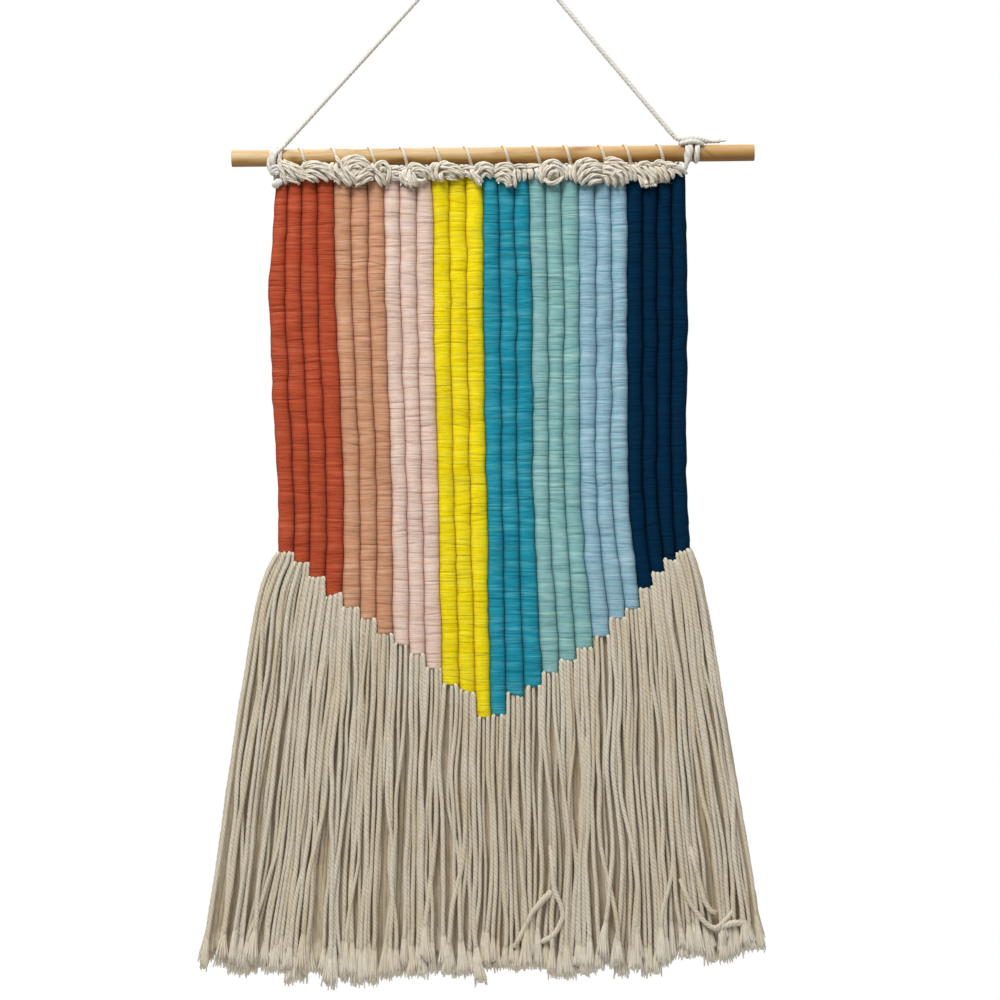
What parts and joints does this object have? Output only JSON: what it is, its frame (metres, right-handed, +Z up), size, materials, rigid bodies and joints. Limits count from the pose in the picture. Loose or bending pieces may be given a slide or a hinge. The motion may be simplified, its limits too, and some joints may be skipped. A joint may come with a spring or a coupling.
{
  "type": "macrame rainbow wall hanging with rod",
  "caption": "Wall hanging of cord bundles wound in rainbow colours to a stepped V, knotted under a wooden rod, with long cotton fringe and a hanging cord.",
  "frame": {"origin": "underside of the hanging cord's bend, where a hook or nail bears", "axes": "+Z up, the face looks towards -Y, +X is to the right as it is seen from the front"},
  "size_m": [0.4488, 0.0251, 0.8549],
  "materials": {
    "wood": "smooth pale dowel, plain",
    "cotton": "undyed twisted cotton cord, matt",
    "rust": "rust cotton yarn, wound, matt",
    "tan": "tan cotton yarn, wound, matt",
    "pink": "pink cotton yarn, wound, matt",
    "yellow": "yellow cotton yarn, wound, matt",
    "teal": "teal cotton yarn, wound, matt",
    "sea_green": "sea green cotton yarn, wound, matt",
    "light_blue": "light blue cotton yarn, wound, matt",
    "navy": "navy cotton yarn, wound, matt"
  },
  "bodies": {
    "root": {"rod": "wood", "hanging_cord": "cotton", "left_hitch": "cotton", "right_hitch": "cotton", "heading": "cotton", "column_01": "rust", "column_02": "rust", "column_03": "rust", "column_04": "rust", "column_05": "tan", "column_06": "tan", "column_07": "tan", "column_08": "pink", "column_09": "pink", "column_10": "pink", "column_11": "yellow", "column_12": "yellow", "column_13": "yellow", "column_14": "teal", "column_15": "teal", "column_16": "teal", "column_17": "sea_green", "column_18": "sea_green", "column_19": "sea_green", "column_20": "light_blue", "column_21": "light_blue", "column_22": "light_blue", "column_23": "navy", "column_24": "navy", "column_25": "navy", "column_26": "navy", "fringe_01": "cotton", "fringe_02": "cotton", "fringe_03": "cotton", "fringe_04": "cotton", "fringe_05": "cotton", "fringe_06": "cotton", "fringe_07": "cotton", "fringe_08": "cotton", "fringe_09": "cotton", "fringe_10": "cotton", "fringe_11": "cotton", "fringe_12": "cotton", "fringe_13": "cotton", "fringe_14": "cotton", "fringe_15": "cotton", "fringe_16": "cotton", "fringe_17": "cotton", "fringe_18": "cotton", "fringe_19": "cotton", "fringe_20": "cotton", "fringe_21": "cotton", "fringe_22": "cotton", "fringe_23": "cotton", "fringe_24": "cotton", "fringe_25": "cotton", "fringe_26": "cotton"}
  },
  "joints": []
}
